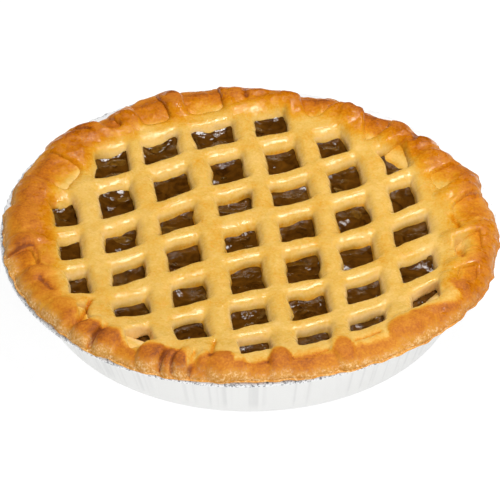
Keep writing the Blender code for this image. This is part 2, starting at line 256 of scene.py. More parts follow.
def new_object(name, points, faces, material):
    """A smooth mesh object from points in millimetres and an array or list of faces."""
    mesh = bpy.data.meshes.new(name)
    points = np.array(points) * MM
    mesh.from_pydata(points.tolist(), [], [list(map(int, face)) for face in faces])
    mesh.validate()
    mesh.shade_smooth()
    mesh.materials.append(material)
    thing = bpy.data.objects.new(name, mesh)
    bpy.context.scene.collection.objects.link(thing)
    return thing


def sampled(field, low, high, step):
    """The field's values on an even grid."""
    axes = [np.arange(low[k], high[k] + step, step) for k in range(3)]
    value = np.empty([len(axis) for axis in axes])
    for i, x in enumerate(axes[0]):
        grid = np.stack(np.meshgrid([x], axes[1], axes[2], indexing="ij"), axis=-1)
        value[i] = field(grid)[0]
    return value


def cell_points(value):
    """A point in each cell that the surface passes through, in cells, and a grid of their numbers."""
    size = [count - 1 for count in value.shape]
    corners = list(np.ndindex(2, 2, 2))
    filled = np.zeros(size, dtype=np.int8)
    for corner in corners:
        filled += value[tuple(slice(first, first + n) for first, n in zip(corner, size))] < 0
    mixed = (filled > 0) & (filled < len(corners))
    cells = np.argwhere(mixed)
    index = np.full(size, -1)
    index[mixed] = np.arange(len(cells))
    at = {corner: value[tuple((cells + corner).T)] for corner in corners}
    total = np.zeros((len(cells), 3))
    number = np.zeros(len(cells))
    for a in corners:
        for axis in range(3):
            if a[axis]:
                continue
            b = tuple(v + (k == axis) for k, v in enumerate(a))
            crossed = (at[a] < 0) != (at[b] < 0)
            t = np.where(crossed, at[a] / np.where(crossed, at[a] - at[b], 1.0), 0.0)
            place = np.array(a) + np.eye(3)[axis] * t[:, None]
            total += place * crossed[:, None]
            number += crossed
    return cells + total / number[:, None], index


def cell_faces(inside, index):
    """A quad across each edge of the grid that the surface cuts, between the points round it."""
    faces = []
    for axis, u, v in ((0, 1, 2), (1, 0, 2), (2, 0, 1)):
        edges = np.argwhere(np.diff(inside, axis=axis))
        across = edges[:, [u, v]]
        edges = edges[((across > 0) & (across < (index.shape[u], index.shape[v]))).all(axis=1)]
        ring = []
        for du, dv in ((-1, -1), (0, -1), (0, 0), (-1, 0)):
            cell = edges.copy()
            cell[:, u] += du
            cell[:, v] += dv
            ring.append(index[tuple(cell.T)])
        quad = np.stack(ring, axis=1)
        over = inside[tuple(edges.T)] == (axis == 1)
        quad[over] = quad[over][:, ::-1]
        faces.append(quad)
    return np.concatenate(faces)


def net(field, low, high, step, rounds=3):
    """Closed surface where field(points) is zero, negative inside, as a net of quads.

    One point stands in each cell that the surface passes through. The points are evened out and
    pulled onto the surface in turns.
    """
    value = sampled(field, low, high, step)
    places, index = cell_points(value)
    points = places * step + np.array(low)
    faces = cell_faces(value < 0, index)
    pairs = np.concatenate([faces[:, [k, (k + 1) % 4]] for k in range(4)])
    count = np.bincount(pairs.ravel(), minlength=len(points))[:, None]
    for _ in range(rounds):
        mean = np.zeros_like(points)
        for axis in range(3):
            for a, b in (pairs.T, pairs.T[::-1]):
                mean[:, axis] += np.bincount(a, points[b, axis], len(points))
        points = points + 0.5 * (mean / count - points)
        points = pull(field, pull(field, points, step), step)
    return points, faces


def pull(field, points, step, probe=0.15):
    """Points moved down the field's slope onto the surface, by half a step at most."""
    here = field(points)
    slope = np.stack([field(points + probe * np.eye(3)[k]) - here for k in range(3)], axis=1) / probe
    length = np.maximum((slope ** 2).sum(axis=1), 0.05)
    move = -here[:, None] * slope / length[:, None]
    size = np.linalg.norm(move, axis=1, keepdims=True)
    return points + move * np.minimum(1.0, 0.5 * step / np.maximum(size, 1e-9))


# --- the lattice ---

# How each opening was pulled when the sheet was stretched over the pie: its shift in x and y, and
# how much wider and deeper its half size is. Openings that aren't listed keep their even place.
STRETCH = {
    (-3, -2): (0.5, 1, -1.5, 1), (-3, -1): (1.5, 1, -1.5, 0.5), (-3, 0): (2, 1.5, -2, 1.5),
    (-2, -3): (1, 4, 0, 1.5), (-2, -2): (0, 1, -0.5, 2), (-2, -1): (0, -1.5, -0.5, 0.5),
    (-2, 0): (2, 1.5, -1, -1), (-2, 1): (-0.5, 1.5, 0.5, -0.5), (-2, 2): (-1, 0, -2, 0),
    (-1, -3): (-2.5, 1, 0.5, 0.5), (-1, -2): (1, 1, 0, 1.5), (-1, -1): (0, 1, 0.5, -0.5),
    (-1, 0): (1, 2, -0.5, 1), (-1, 1): (1, 1, -0.5, 0), (-1, 2): (-1.5, -2, -1, 1),
    (0, -3): (-2.5, 0, 1, 0), (0, -2): (1.5, 0.5, -0.5, 1.5), (0, -1): (1.5, 1.5, -0.5, -1),
    (0, 0): (1.5, 3, -0.5, 0), (0, 1): (1.5, 1, -0.5, 2), (0, 2): (0, 0.5, 0, 0),
    (0, 3): (-1, 0.5, -0.5, 0.5), (0, 4): (0, -1, 0, 0),
    (1, -3): (0, 0, -0.5, 0), (1, -2): (2, 1, 0, 2.5), (1, -1): (2.5, 1, 0.5, -0.5),
    (1, 0): (2, 1.5, 0, 0.5), (1, 1): (2, 0, -0.5, 2), (1, 2): (1, -2.5, 0.5, 1.5),
    (1, 3): (1, -0.5, -0.5, 0), (1, 4): (0, -3, 0, 0),
    (2, -2): (1.5, 3, -1, 1), (2, -1): (4, 4, 0, 2), (2, 0): (3, 1, 0, 1), (2, 1): (2, -2, 0, 1),
    (2, 2): (1.5, -2.5, 0, 0), (2, 3): (0, -2, 0, -1), (2, 4): (0, -3, 0, 0),
    (3, -1): (3, 5, -2.5, 2), (3, 0): (1.5, 2, -2, 1.5), (3, 1): (1.5, 2, 0, -0.5),
    (3, 2): (1, 0, 0, 0), (3, 3): (3, 1.5, -1, -0.5),
    (-3, -3): (-6, 4, 0, 0), (-2, -4): (1, 3, 0, 0), (-1, -4): (-4, 0, 0, 0),
    (0, -4): (-4.5, -5, 0, 0), (2, -3): (-4, 1, 0, 0), (3, -2): (-4, 0, -2.5, -2),
    (4, 0): (-2, -1, 0, 0), (4, 1): (2, 2, 0, 0), (4, 2): (0, 1, -2, -1), (4, 3): (-3, 6, -4, -3),
    (-3, 1): (0, 1, -6, -1),
}
# Openings on the rim that are pressed shut, and those with the case's dough standing in them: how
# far the dough lies below the strips, and how much deeper towards the middle of the pie.
SHUT = {
    (1, -4), (4, -1), (3, 4), (-1, 3), (-3, 2), (-2, 3), (-4, 0), (-3, -3), (-2, -4), (-1, -4), (0, -4),
    (2, -3), (4, 0), (4, 1), (0, 4), (1, 4), (2, 4),
}
WINDOWS = {(3, -2): (1.6, 1.0), (4, 2): (1.2, 4.5), (4, 3): (1.0, 1.5), (-3, 1): (1.5, 1.0)}
# Notches between the ends of the strips, open to the edge, with the case's dough standing in them:
# heading in degrees, inner radius, half width, slant, widening, and depth below the strips.
NOTCHES = (
    (2.6, 93.5, 8, 0.5, 0.2, 1.2), (19.7, 90.5, 7.5, 0.2, -0.1, 1.2), (49.9, 88, 2.4, 0.45, 0.42, 1.6),
    (71, 89, 3, 0, 0.5, 1.5), (103, 90.5, 9.3, 0, 0, 1.5), (118.7, 90.5, 7.8, -0.1, 0, 1.3),
    (130.7, 95.5, 4.2, 0, 0, 1.5), (158, 88, 9.5, -0.15, 0, 0.4), (197, 101, 6.8, 0, 0, 0.7),
)
# Lumps where strips' ends are folded and pressed over the rim: heading in degrees, radius, half size
# along the rim and across it, and height.
LUMPS = (
    (190, 104, 5.5, 11, 1.6), (204.5, 104, 5, 10, 1.6), (212, 108, 9, 8, 1.3), (220, 109, 8, 9, 2),
    (229.2, 109, 5, 9.5, 2.6), (235.6, 109, 5.5, 9.5, 2.6), (246.6, 109, 5.3, 9, 2.6),
    (251.3, 110, 2, 7, 1.8), (254.7, 108.5, 4.5, 8.5, 2.4), (259.5, 106, 3.5, 7, 1.3),
    (264.8, 108.5, 9, 9, 2.4), (277, 105.5, 4.6, 9.5, 1.9), (292.8, 105.5, 4.8, 10, 1.9),
    (311.5, 107, 11.5, 9, 2), (325, 110, 9.5, 8, 1.7), (331, 105, 4.5, 9, 1.2), (345, 104, 5, 10, 1.5),
    (0.5, 104, 4, 9, 0.8), (12.5, 102, 6, 11, 1.3), (29, 98, 6, 11, 1), (37, 100, 5, 8, 1),
    (45, 97, 5.5, 10, 1), (60, 97, 6, 10, 1), (79, 96, 6, 10, 0.8), (94, 98, 5, 9, 0.6),
    (110.7, 101, 4, 12, 1), (125.5, 98, 3.5, 9, 0.9), (138, 103, 8, 9, 1.1), (148, 101, 8, 12, 0.8),
    (168, 102, 9, 10, 0.7), (180, 103, 9, 11, 0.8),
)
# Folds: strips doubled over at the right of the rim, from x, y to x, y, half width and height.
FOLDS = (
    (90, -45, 98, -58, 6, 1.5), (92, -36, 111, -25, 6, 1.6), (93, -14, 112, -4, 6.5, 1.6),
    (89, 18, 105, 38, 5.5, 1.4), (69, -78, 91, -62, 7.5, 0.9), (-8, 89, 14, 96, 4, 1.2),
    (-86, 64, -60, 73, 5, 1),
)
# Slits and creases in the pressed dough: heading and radius at both ends, half width and depth.
CREASES = (
    (193, 100, 193, 113, 0.8, 1.2), (193, 100, 201.5, 100.5, 0.8, 0.9),
    (206.5, 104.5, 211.5, 103.5, 1.6, 1.5), (220.5, 93, 226.8, 108, 1.2, 2.4),
    (232.2, 103, 232.4, 114, 0.9, 2.2), (249.8, 103, 250.2, 114, 0.8, 1.8),
    (252.6, 104, 252.8, 114, 0.8, 1.4), (256.5, 102, 256.8, 114, 0.9, 1.6),
    (260.4, 92, 260.6, 105, 0.9, 1.6), (225.5, 103, 227.5, 107, 1.5, 1),
    (239.5, 104, 243.5, 106.5, 1.6, 1), (137.5, 102, 141.5, 111, 1, 1.6),
    (91, 98, 91.3, 105, 1.2, 1.2), (342, 101, 348, 97, 1.4, 1.6), (355, 95, 362, 93.5, 1, 1.4),
    (38.8, 99, 41, 104, 1.4, 1.2), (169.5, 91, 173, 90, 1.5, 1), (280.5, 105.5, 289.5, 104, 0.8, 1.8),
    (296.5, 103.5, 303.5, 103, 0.8, 1.6), (268.5, 106.5, 274, 106.3, 0.8, 1.4),
)
# Outer edge of the crust, trimmed and spread by hand: headings in degrees and radii.
EDGE = (
    (0, 4, 12, 20, 32, 36, 40, 44, 48, 52, 60, 68, 76, 80, 84, 88, 92, 108, 112, 128, 132, 136, 144, 148,
     156, 164, 172, 176, 188, 192, 224, 232, 236, 248, 272, 336, 348, 356, 360),
    (112.5, 112.5, 110, 113.5, 107, 110.5, 106, 109, 110, 107.5, 106.5, 111, 108, 108, 110, 109, 111, 113,
     115.5, 110.5, 111, 115, 115.5, 113.5, 112, 113, 111, 113, 112, 113.5, 114.5, 116.5, 115.5, 117,
     113.5, 116.5, 113.5, 114.5, 112.5),
)
# How much steeper the crust falls to its edge at the back: heading in degrees and height.
STEEPER = (
    (0, 15, 30, 60, 75, 85, 100, 120, 130, 145, 360),
    (0.3, 0.6, 1, 1.2, 1, 0.8, 0, 0, 0.8, 0, 0.3),
)
# Where the case's dough starts to rise to the rim: heading in degrees and radius.
SLOPE_START = (
    (0, 20, 35, 55, 85, 120, 150, 170, 190, 360),
    (88, 82, 74, 80, 77, 79, 79, 84, 90, 88),
)
# Inner edge of the browned dough along the front of the rim: headings in degrees and radii.
BROWNED_EDGE = (
    (222, 226, 227.5, 231, 236, 239, 243.5, 245, 248, 253, 255, 256, 258, 260.5, 262, 265, 266, 266.5,
     274, 275, 276, 279, 280, 280.5, 290, 291.3, 293.5, 295, 295.6, 304.5, 305.5, 308, 314, 319, 323, 325,
     327.5, 329, 331, 340, 343, 346),
    (103, 108, 104, 102.5, 102.5, 105, 107, 103.5, 101.5, 102, 104, 109, 105.5, 101.5, 99.5, 99.5, 103,
     106.2, 105.6, 102, 99, 99, 102, 105.6, 104.8, 101, 98.5, 101, 105.5, 106, 102, 99.8, 100.5, 102.5,
     106.5, 108.5, 108.5, 103, 99.5, 98.5, 101, 106),
)


def opening_tables():
    """For each place of the grid: its stretch in size, whether it is open, and its window."""
    count = 2 * GRID_REACH + 1
    sizes = np.zeros((count, count, 2))
    is_cut = np.zeros((count, count), dtype=bool)
    windows = np.zeros((count, count, 2))
    for row, column in PLACES:
        x, y = grid_point(row, column)
        smooth_side = abs(turn_between(math.atan2(y, x), SMOOTH_SIDE_ANGLE)) < SMOOTH_SIDE_SPREAD
        limit = SMOOTH_SIDE_LIMIT if smooth_side else OPENING_LIMIT
        place = (row + GRID_REACH, column + GRID_REACH)
        is_cut[place] = math.hypot(x, y) < limit and (row, column) not in SHUT
        sizes[place] = STRETCH.get((row, column), (0, 0, 0, 0))[2:]
        windows[place] = WINDOWS.get((row, column), (-1.0, 0.0))
    return sizes, is_cut, windows


def stretched(x, y):
    """Grid coordinates of a point once the sheet's uneven stretch is taken out."""
    row, column = grid_coordinates(x, y)
    total = np.full_like(x, 1e-4)
    move_x = np.zeros_like(x)
    move_y = np.zeros_like(x)
    for i, j in PLACES:
        if math.hypot(*grid_point(i, j)) > GRID_LIMIT:
            continue
        weight = np.exp(-((row - i) ** 2 + (column - j) ** 2) / (2 * STRETCH_SPREAD ** 2))
        total += weight
        shift = STRETCH.get((i, j), (0, 0))
        move_x += weight * shift[0]
        move_y += weight * shift[1]
    return grid_coordinates(x - move_x / total, y - move_y / total)


def opening_distance(x, y, row, column):
    """Distance from the nearest opening's edge, positive in the pastry, and that opening's window."""
    i = np.clip(np.rint(row).astype(int), -GRID_REACH, GRID_REACH)
    j = np.clip(np.rint(column).astype(int), -GRID_REACH, GRID_REACH)
    sizes, is_cut, windows = opening_tables()
    place = (i + GRID_REACH, j + GRID_REACH)
    size = sizes[place]
    across = np.abs((row - i) * ROW_PITCH * SLANT)
    down = np.abs((column - j) * COLUMN_PITCH * SLANT)
    wide = ROW_PITCH * SLANT / 2 - COLUMN_STRIP_WIDTH / 2 + size[..., 0] - OPENING_CORNER
    deep = COLUMN_PITCH * SLANT / 2 - ROW_STRIP_WIDTH / 2 + size[..., 1] - OPENING_CORNER
    distance = outside(across - wide, down - deep)
    distance = distance - OPENING_CORNER + 0.6 * uneven(x, y, 8, 11) + 0.2 * uneven(x, y, 2.6, 12)
    return np.where(is_cut[place], distance, NO_EDGE), windows[place]


def on_column_strip(row, half):
    """1 along the middle of a column strip, and less to its sides."""
    return np.exp(-(np.abs(row - np.floor(row) - 0.5) * ROW_PITCH * SLANT / half) ** 2)


def edge_radius(angle):
    """Outer edge of the crust at an angle."""
    ripple = sum(high * np.sin(waves * angle + phase) for high, waves, phase in RIPPLES)
    return at_heading(angle, EDGE) + ripple


def steeper(radius, angle):
    """How far the crust's edge lies lower than on the even profile."""
    outer = np.clip((radius - CREST_RADIUS + 2) / (SHEET_RADIUS - CREST_RADIUS + 2), 0, 1)
    return at_heading(angle, STEEPER) * outer ** 1.6


def profile_radius(radius, angle):
    """Radius on the even profile of the rim, which ends at the sheet's own edge."""
    stretch = (SHEET_RADIUS - RIM_START) / (edge_radius(angle) - RIM_START)
    return np.where(radius < RIM_START, radius, RIM_START + (radius - RIM_START) * stretch)


def from_segment(x, y, x1, y1, x2, y2):
    """Distance of a point from a segment."""
    dx = x2 - x1
    dy = y2 - y1
    t = np.clip(((x - x1) * dx + (y - y1) * dy) / (dx * dx + dy * dy), 0, 1)
    return np.hypot(x - x1 - t * dx, y - y1 - t * dy)


def along(angle, degrees):
    """Distance along the rim from a heading, in millimetres at a radius of 100."""
    return np.degrees(turn_between(angle, math.radians(degrees))) * MM_PER_DEGREE


def rim_relief(x, y):
    """Height of the pressed rim's lumps and folds, and depth of its creases."""
    x = x + 1.2 * uneven(x, y, 7, 23)
    y = y + 1.2 * uneven(x, y, 7, 24)
    radius, angle = polar(x, y)
    raised = np.zeros_like(x)
    for heading, middle, half, across, height in LUMPS:
        t = np.hypot(along(angle, heading) / half, (radius - middle) / across)
        raised = np.maximum(raised, height * np.maximum(1 - t ** LUMP_POWER, 0))
    for x1, y1, x2, y2, width, height in FOLDS:
        t = np.clip(from_segment(x, y, x1, y1, x2, y2) / width, 0, 1)
        raised = np.maximum(raised, height * (1 - t * t) ** FOLD_POWER)
    cut = np.zeros_like(x)
    for start, radius1, end, radius2, width, depth in CREASES:
        length = (end - start) * MM_PER_DEGREE
        far = from_segment(along(angle, start), radius, 0, radius1, length, radius2)
        cut = np.maximum(cut, depth * np.exp(-(far / width) ** 2))
    return raised, cut


def notch_distance(x, y):
    """Distance from the edge of the nearest notch in the rim, and its depth."""
    radius, angle = polar(x, y)
    distance = np.full_like(x, NO_EDGE)
    depth = np.zeros_like(x)
    for heading, inner, half, slant, widening, sunk in NOTCHES:
        side = np.abs(along(angle, heading) * radius / 100 - slant * (radius - inner))
        side = side - half - widening * (radius - inner) + NOTCH_CORNER
        here = outside(side, inner - radius + NOTCH_CORNER) - NOTCH_CORNER
        depth = np.where(here < distance, sunk, depth)
        distance = np.minimum(distance, here)
    return distance + 0.5 * uneven(x, y, 5, 15), depth


def lattice_top(x, y, radius, row, smooth, relief):
    """Height of the lattice's upper face, from a smooth sheet's height and the rim's relief."""
    inner = 1 - ease(radius, 84, 96)
    crown = STRIP_CROWN * on_column_strip(row, 4.6) - STRIP_CROWN / 2
    height = smooth + crown * inner
    height = height + 0.42 * uneven(x, y, 13, 21) + 0.16 * uneven(x, y, 5, 22)
    height = height + 0.06 * uneven(x, y, 2.6, 28)
    lumpy = ease(radius, 88, 98)
    height = height + lumpy * (0.4 * uneven(x, y, 6, 25) + 0.28 * uneven(x, y, 2.4, 26))
    height = height + relief - 0.35 * lumpy
    return np.minimum(height, CREST_LIMIT + 0.5 * (height - CREST_LIMIT))


def rounded(distance, depth, radius):
    """Negative inside a slab whose edge, at distance 0 and depth 0, is rounded off."""
    return outside(radius - distance, radius - depth) - radius


class Plan:
    """Maps of the lattice over the plan, read by interpolation."""

    def __init__(self):
        axis = np.arange(-PLAN_REACH, PLAN_REACH + PLAN_STEP, PLAN_STEP)
        self.x, self.y = np.meshgrid(axis, axis, indexing="ij")
        self.maps = {}

    def read(self, name, x, y):
        grid = self.maps[name]
        u = np.clip((x + PLAN_REACH) / PLAN_STEP, 0, grid.shape[0] - 1.001)
        v = np.clip((y + PLAN_REACH) / PLAN_STEP, 0, grid.shape[1] - 1.001)
        i = u.astype(int)
        j = v.astype(int)
        u = u - i
        v = v - j
        return ((grid[i, j] * (1 - u) + grid[i + 1, j] * u) * (1 - v) +
                (grid[i, j + 1] * (1 - u) + grid[i + 1, j + 1] * u) * v)


def case_floor(x, y, radius, angle, top, bare, openings, notches):
    """Height of the case's dough: a slope up to the rim, and a dome in each window and notch."""
    pad = case_top(np.clip(radius, CREST_RADIUS, CASE_RADIUS))
    pad = np.maximum(pad - steeper(radius, angle), TIN_HEIGHT + 0.5)
    start = at_heading(angle, SLOPE_START) + 2 * uneven(x, y, 20, 33)
    floor = SLOPE_FOOT + (pad - SLOPE_FOOT) * ease(radius, start, SLOPE_TOP_RADIUS)
    opening, window = openings
    deeper = window[..., 1] * (1 - ease(radius, 92, 102))
    dome = top - window[..., 0] - deeper - 0.9 * ease(opening, -2.5, 0.5)
    floor = np.where(window[..., 0] >= 0, np.maximum(floor, dome), floor)
    notch, sunk = notches
    sunk = (sunk + 0.9) * (1 - 0.5 * ease(radius, 104, 110))
    dome = bare - sunk - 0.2 * ease(notch, -2.2, 0.5)
    floor = np.where(notch < 1.5, np.maximum(floor, dome), floor)
    floor = floor + 0.3 * uneven(x, y, 9, 31) + 0.15 * uneven(x, y, 3.5, 32)
    return floor + 0.9 * uneven(x, y, 5, 34) * (1 - ease(radius, 84, 92))


def fill_plan(plan):
    x, y = plan.x, plan.y
    radius, angle = polar(x, y)
    radius = profile_radius(radius, angle)
    row, column = stretched(x, y)
    openings = opening_distance(x, y, row, column)
    notches = notch_distance(x, y)
    raised, cut = rim_relief(x, y)
    smooth = sheet_top(np.minimum(radius, SHEET_RADIUS)) - steeper(radius, angle)
    top = lattice_top(x, y, radius, row, smooth, raised - cut)
    far = np.gradient(blurred(np.clip(openings[0], -8, 8), 2), PLAN_STEP, axis=1)
    floor = case_floor(x, y, radius, angle, top, np.minimum(smooth, top), openings, notches)
    plan.maps = {
        "radius": radius, "row": row, "cut": cut, "top": top, "hollow": blurred(top, 7) - top,
        "opening": np.minimum(openings[0], notches[0]), "far": np.clip(far, 0, 1), "floor": floor,
    }


def blurred(grid, half):
    """The map evened out over a square of half width `half` cells, twice each way."""
    for _ in range(4):
        total = np.cumsum(np.pad(grid, ((half + 1, half), (0, 0)), mode="edge"), axis=0)
        grid = ((total[2 * half + 1:] - total[:-2 * half - 1]) / (2 * half + 1)).T
    return grid


PLAN = Plan()
fill_plan(PLAN)


def lattice_field(points):
    x, y, z = np.moveaxis(points, -1, 0)
    radius, angle = polar(x, y)
    depth = PLAN.read("top", x, y) - z
    # The walls lean outwards on their way down, most of all the far walls at the back left.
    loose = uneven(x, y, 9, 13)
    sagging = 0.06 + 0.12 * loose + 0.22 * ease(y - 0.7 * x, 20, 75)
    lean = WALL_LEAN + WALL_LEAN * loose + PLAN.read("far", x, y) * sagging
    opening = PLAN.read("opening", x, y) + lean * np.clip(depth, 0, 9)
    shoulder = (SHOULDER + uneven(x, y, 8, 14)) * (1 - 0.45 * ease(radius, 88, 95))
    outer = edge_radius(angle) - 0.8 - radius + 0.2 * np.clip(depth, 0, 4)
    body = np.maximum(rounded(opening, depth, shoulder), rounded(outer, depth, 2.2))
    sunk = 3.0 * (1 - ease(radius, 78, 90)) + 0.9 * ease(radius, 98, 102)
    profile = PLAN.read("radius", x, y)
    bottom = sheet_bottom(profile) - steeper(profile, angle) - sunk - z
    return np.maximum(body, bottom)


# --- the pastry case ---

def wall_radius(height, inset):
    """Radius of the tin's outer face at a height up its wall, less an inset."""
    foot_radius = TIN_BASE_RADIUS + TIN_CORNER_RADIUS * math.sin(TIN_SLOPE)
    foot_height = TIN_CORNER_RADIUS * (1 - math.cos(TIN_SLOPE))
    t = (height - foot_height) / (TIN_HEIGHT - FOIL - foot_height)
    return foot_radius + (TIN_TOP_RADIUS - foot_radius) * t - inset


def turned(profile, steps):
    """Points and faces of a closed profile of (radius, height) turned round Z."""
    radius, height = np.array(profile).T
    angles = np.arange(steps) * 2 * np.pi / steps
    count = len(profile)
    points = np.stack([np.outer(np.cos(angles), radius), np.outer(np.sin(angles), radius),
                       np.tile(height, (steps, 1))], axis=-1)
    i, j = np.meshgrid(np.arange(steps), np.arange(count), indexing="ij")
    next_i = (i + 1) % steps
    next_j = (j + 1) % count
    corners = ((i, j), (next_i, j), (next_i, next_j), (i, next_j))
    faces = np.stack([a * count + b for a, b in corners], axis=-1)
    return points.reshape(-1, 3), faces.reshape(-1, 4)


def out_of_round(points):
    angle = np.arctan2(points[:, 1], points[:, 0])
    scale = roundness(angle, np.clip(points[:, 2] / TIN_HEIGHT, 0, 1))
    return points * np.stack([scale, scale, np.ones_like(scale)], axis=1)


def case_points():
    """The turned case, the place of each point on its profile, and where its rim starts and ends."""
    floor = FOIL + GAP
    inner = floor + CASE_THICKNESS
    seat = TIN_HEIGHT + 0.05
    profile = [(0.01, inner), (TIN_BASE_RADIUS - inner - 2, inner)]
    profile += [(wall_radius(height, inner), height) for height in (9, 14, 19)] + [(86, 22), (76, 25)]
    first_rim = len(profile)
    profile += [(radius, 30.0) for radius in np.arange(73.0, 110.7, 0.75)]
    last_rim = len(profile)
    edge_top = float(case_top(110.6))
    middle = (edge_top + seat) / 2
    half = (edge_top - seat) / 2
    for degrees in EDGE_TURNS:
        turn = math.radians(degrees)
        profile.append((CASE_RADIUS - 1.0 + 1.2 * math.cos(turn), middle + half * math.sin(turn)))
    profile += [(109.0, seat), (wall_radius(TIN_HEIGHT, FOIL), seat)]
    profile += [(wall_radius(height, floor), height) for height in np.linspace(9, 29, 8)[::-1]]
    profile += [(TIN_BASE_RADIUS + 1, floor + 0.6), (TIN_BASE_RADIUS - 2, floor), (0.01, floor)]
    points, faces = turned(profile, CASE_STEPS)
    return points, faces, np.tile(np.arange(len(profile)), CASE_STEPS), first_rim, last_rim


def build_case(material):
    points, faces, row, first_rim, last_rim = case_points()
    radius, angle = polar(points[:, 0], points[:, 1])
    edge = edge_radius(angle)
    on_rim = (row >= first_rim) & (row < last_rim + len(EDGE_TURNS))
    spread = np.clip((radius - RIM_START) / (CASE_RADIUS - RIM_START), 0, 2) * on_rim
    points[:, :2] *= (1 + spread * (edge - CASE_RADIUS) / radius)[:, None]
    points = np.where(on_rim[:, None], points, out_of_round(points))
    top = PLAN.read("floor", points[:, 0], points[:, 1])
    share = np.clip((row - last_rim + 1) / (len(EDGE_TURNS) + 1), 0, 1)
    # The crust drapes over the foil's roll at the back, and only stands on it along the front.
    heading = np.degrees(angle) % 360
    standing = ease(heading, 180, 190) * (1 - ease(heading, 335, 350))
    foot = TIN_HEIGHT - 0.35 * np.clip(edge - 113.5, 0, 3) * (1 - standing) + 0.4 * standing
    points[:, 2] = np.where(on_rim, top + (foot - top) * share, points[:, 2])
    above = points[:, 2] > TIN_HEIGHT + 0.3
    rough = noise(points, 2.6, 41) * 0.22 + noise(points, 1.3, 42) * 0.10
    outward = ease(radius, 102, 110)
    points[:, 2] += np.where(above, rough, 0)
    points[above, :2] *= (1 + (rough * outward / radius)[above])[:, None]
    thing = new_object("case_crust", points, faces, material)
    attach(thing, "root")
    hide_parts("pastry_case")
    return thing


# --- the filling ---

def filling_top(x, y):
    radius = np.hypot(x, y)
    level = FILLING_TOP + 0.1 + SHEET_DISH * np.minimum(radius / CLIMB_RADIUS, 1.0) ** 2
    return level + 0.8 * uneven(x, y, 11, 51) + 0.45 * uneven(x, y, 4.5, 52)


def filling_field(points):
    x, y, z = np.moveaxis(points, -1, 0)
    # Glaze has pooled against the walls of the openings, most of all at the back left.
    pooled = 0.2 + 0.9 * uneven(x, y, 9, 53) + 1.6 * ease(y - 0.7 * x, 30, 90)
    pooled = np.clip(pooled, 0, 4) * np.exp(np.minimum(PLAN.read("opening", x, y) + 1.2, 0) / 1.8)
    inset = FOIL + 2 * GAP + CASE_THICKNESS
    wall = np.hypot(x, y) - wall_radius(np.clip(z, 5, 31), inset) + 0.3
    return np.maximum(np.maximum(z - filling_top(x, y) - pooled, wall), inset - z)


def build_filling(material):
    points, faces = net(filling_field, (-101, -101, 4), (101, 101, 34), JELLY_STEP, rounds=2)
    thing = new_object("apple_jelly", points, faces, material)
    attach(thing, "root")
    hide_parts("apple_filling")


def slice_shape(chance):
    """One cut of apple: a crescent, thick along its outer curve and thin at the core."""
    bend = chance.uniform(13, 18)
    half = math.radians(chance.uniform(50, 75))
    width = chance.uniform(9, 13)
    thick = chance.uniform(5, 8)
    points = []
    for i in range(SLICE_RINGS):
        t = -1 + 2 * i / (SLICE_RINGS - 1)
        taper = math.sqrt(max(1 - t * t * 0.97, 0.0))
        for j in range(SLICE_SIDES):
            s = 2 * math.pi * j / SLICE_SIDES
            wedge = 0.35 + 0.65 * (0.5 + 0.5 * math.cos(s))
            reach = bend + math.cos(s) * width / 2 * taper
            points.append((reach * math.sin(t * half), reach * math.cos(t * half) - bend,
                           math.sin(s) * thick / 2 * wedge * taper))
    faces = []
    for i in range(SLICE_RINGS - 1):
        here = i * SLICE_SIDES
        ahead = here + SLICE_SIDES
        for j in range(SLICE_SIDES):
            k = (j + 1) % SLICE_SIDES
            faces.append((here + j, here + k, ahead + k, ahead + j))
    faces.append(tuple(range(SLICE_SIDES)))
    faces.append(tuple((SLICE_RINGS - 1) * SLICE_SIDES + j for j in reversed(range(SLICE_SIDES))))
    return np.array(points), faces


def rotation(heading, pitch, roll):
    (ch, sh), (cp, sp), (cr, sr) = [(math.cos(a), math.sin(a)) for a in (heading, pitch, roll)]
    turn = np.array([[ch, -sh, 0], [sh, ch, 0], [0, 0, 1]])
    tip = np.array([[cp, 0, sp], [0, 1, 0], [-sp, 0, cp]])
    lean = np.array([[1, 0, 0], [0, cr, -sr], [0, sr, cr]])
    return turn @ tip @ lean


def build_slices(material):
    chance = np.random.RandomState(19)
    places = []
    tries = 0
    while len(places) < SLICE_COUNT and tries < 50 * SLICE_COUNT:
        tries += 1
        x, y = chance.uniform(-90, 90, 2)
        crowded = any(math.hypot(x - a, y - b) < SLICE_SPACING for a, b in places)
        if math.hypot(x, y) <= SLICE_REACH and not crowded:
            places.append((x, y))
    points = []
    faces = []
    start = 0
    for x, y in places:
        shape, sides = slice_shape(chance)
        turns = chance.uniform(0, 2 * math.pi), chance.uniform(-0.25, 0.25), chance.uniform(-0.7, 0.7)
        shape = shape @ rotation(*turns).T
        shape = shape + noise(shape + chance.uniform(0, 200, 3), 6.0, 61)[:, None] * 0.5
        level = float(filling_top(np.array([x]), np.array([y]))[0])
        shape[:, 2] += level + chance.uniform(-0.6, 1.0) - shape[:, 2].max()
        shape[:, :2] += (x, y)
        radius = np.hypot(shape[:, 0], shape[:, 1])
        shape[:, :2] *= np.where(radius > SLICE_LIMIT, SLICE_LIMIT / np.maximum(radius, 1), 1.0)[:, None]
        points.append(shape)
        faces += [tuple(start + k for k in side) for side in sides]
        start += len(shape)
    thing = new_object("apple_slices", np.concatenate(points), faces, material)
    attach(thing, "root")


# --- the tin ---

# How much of the roll is specked with painted reflections, dark and white: heading in degrees and share.
ROLL_REFLECTIONS = ((0, 100, 115, 140, 175, 195, 300, 320, 360), (0, 0, 1, 0.5, 0.6, 1, 1, 0, 0))


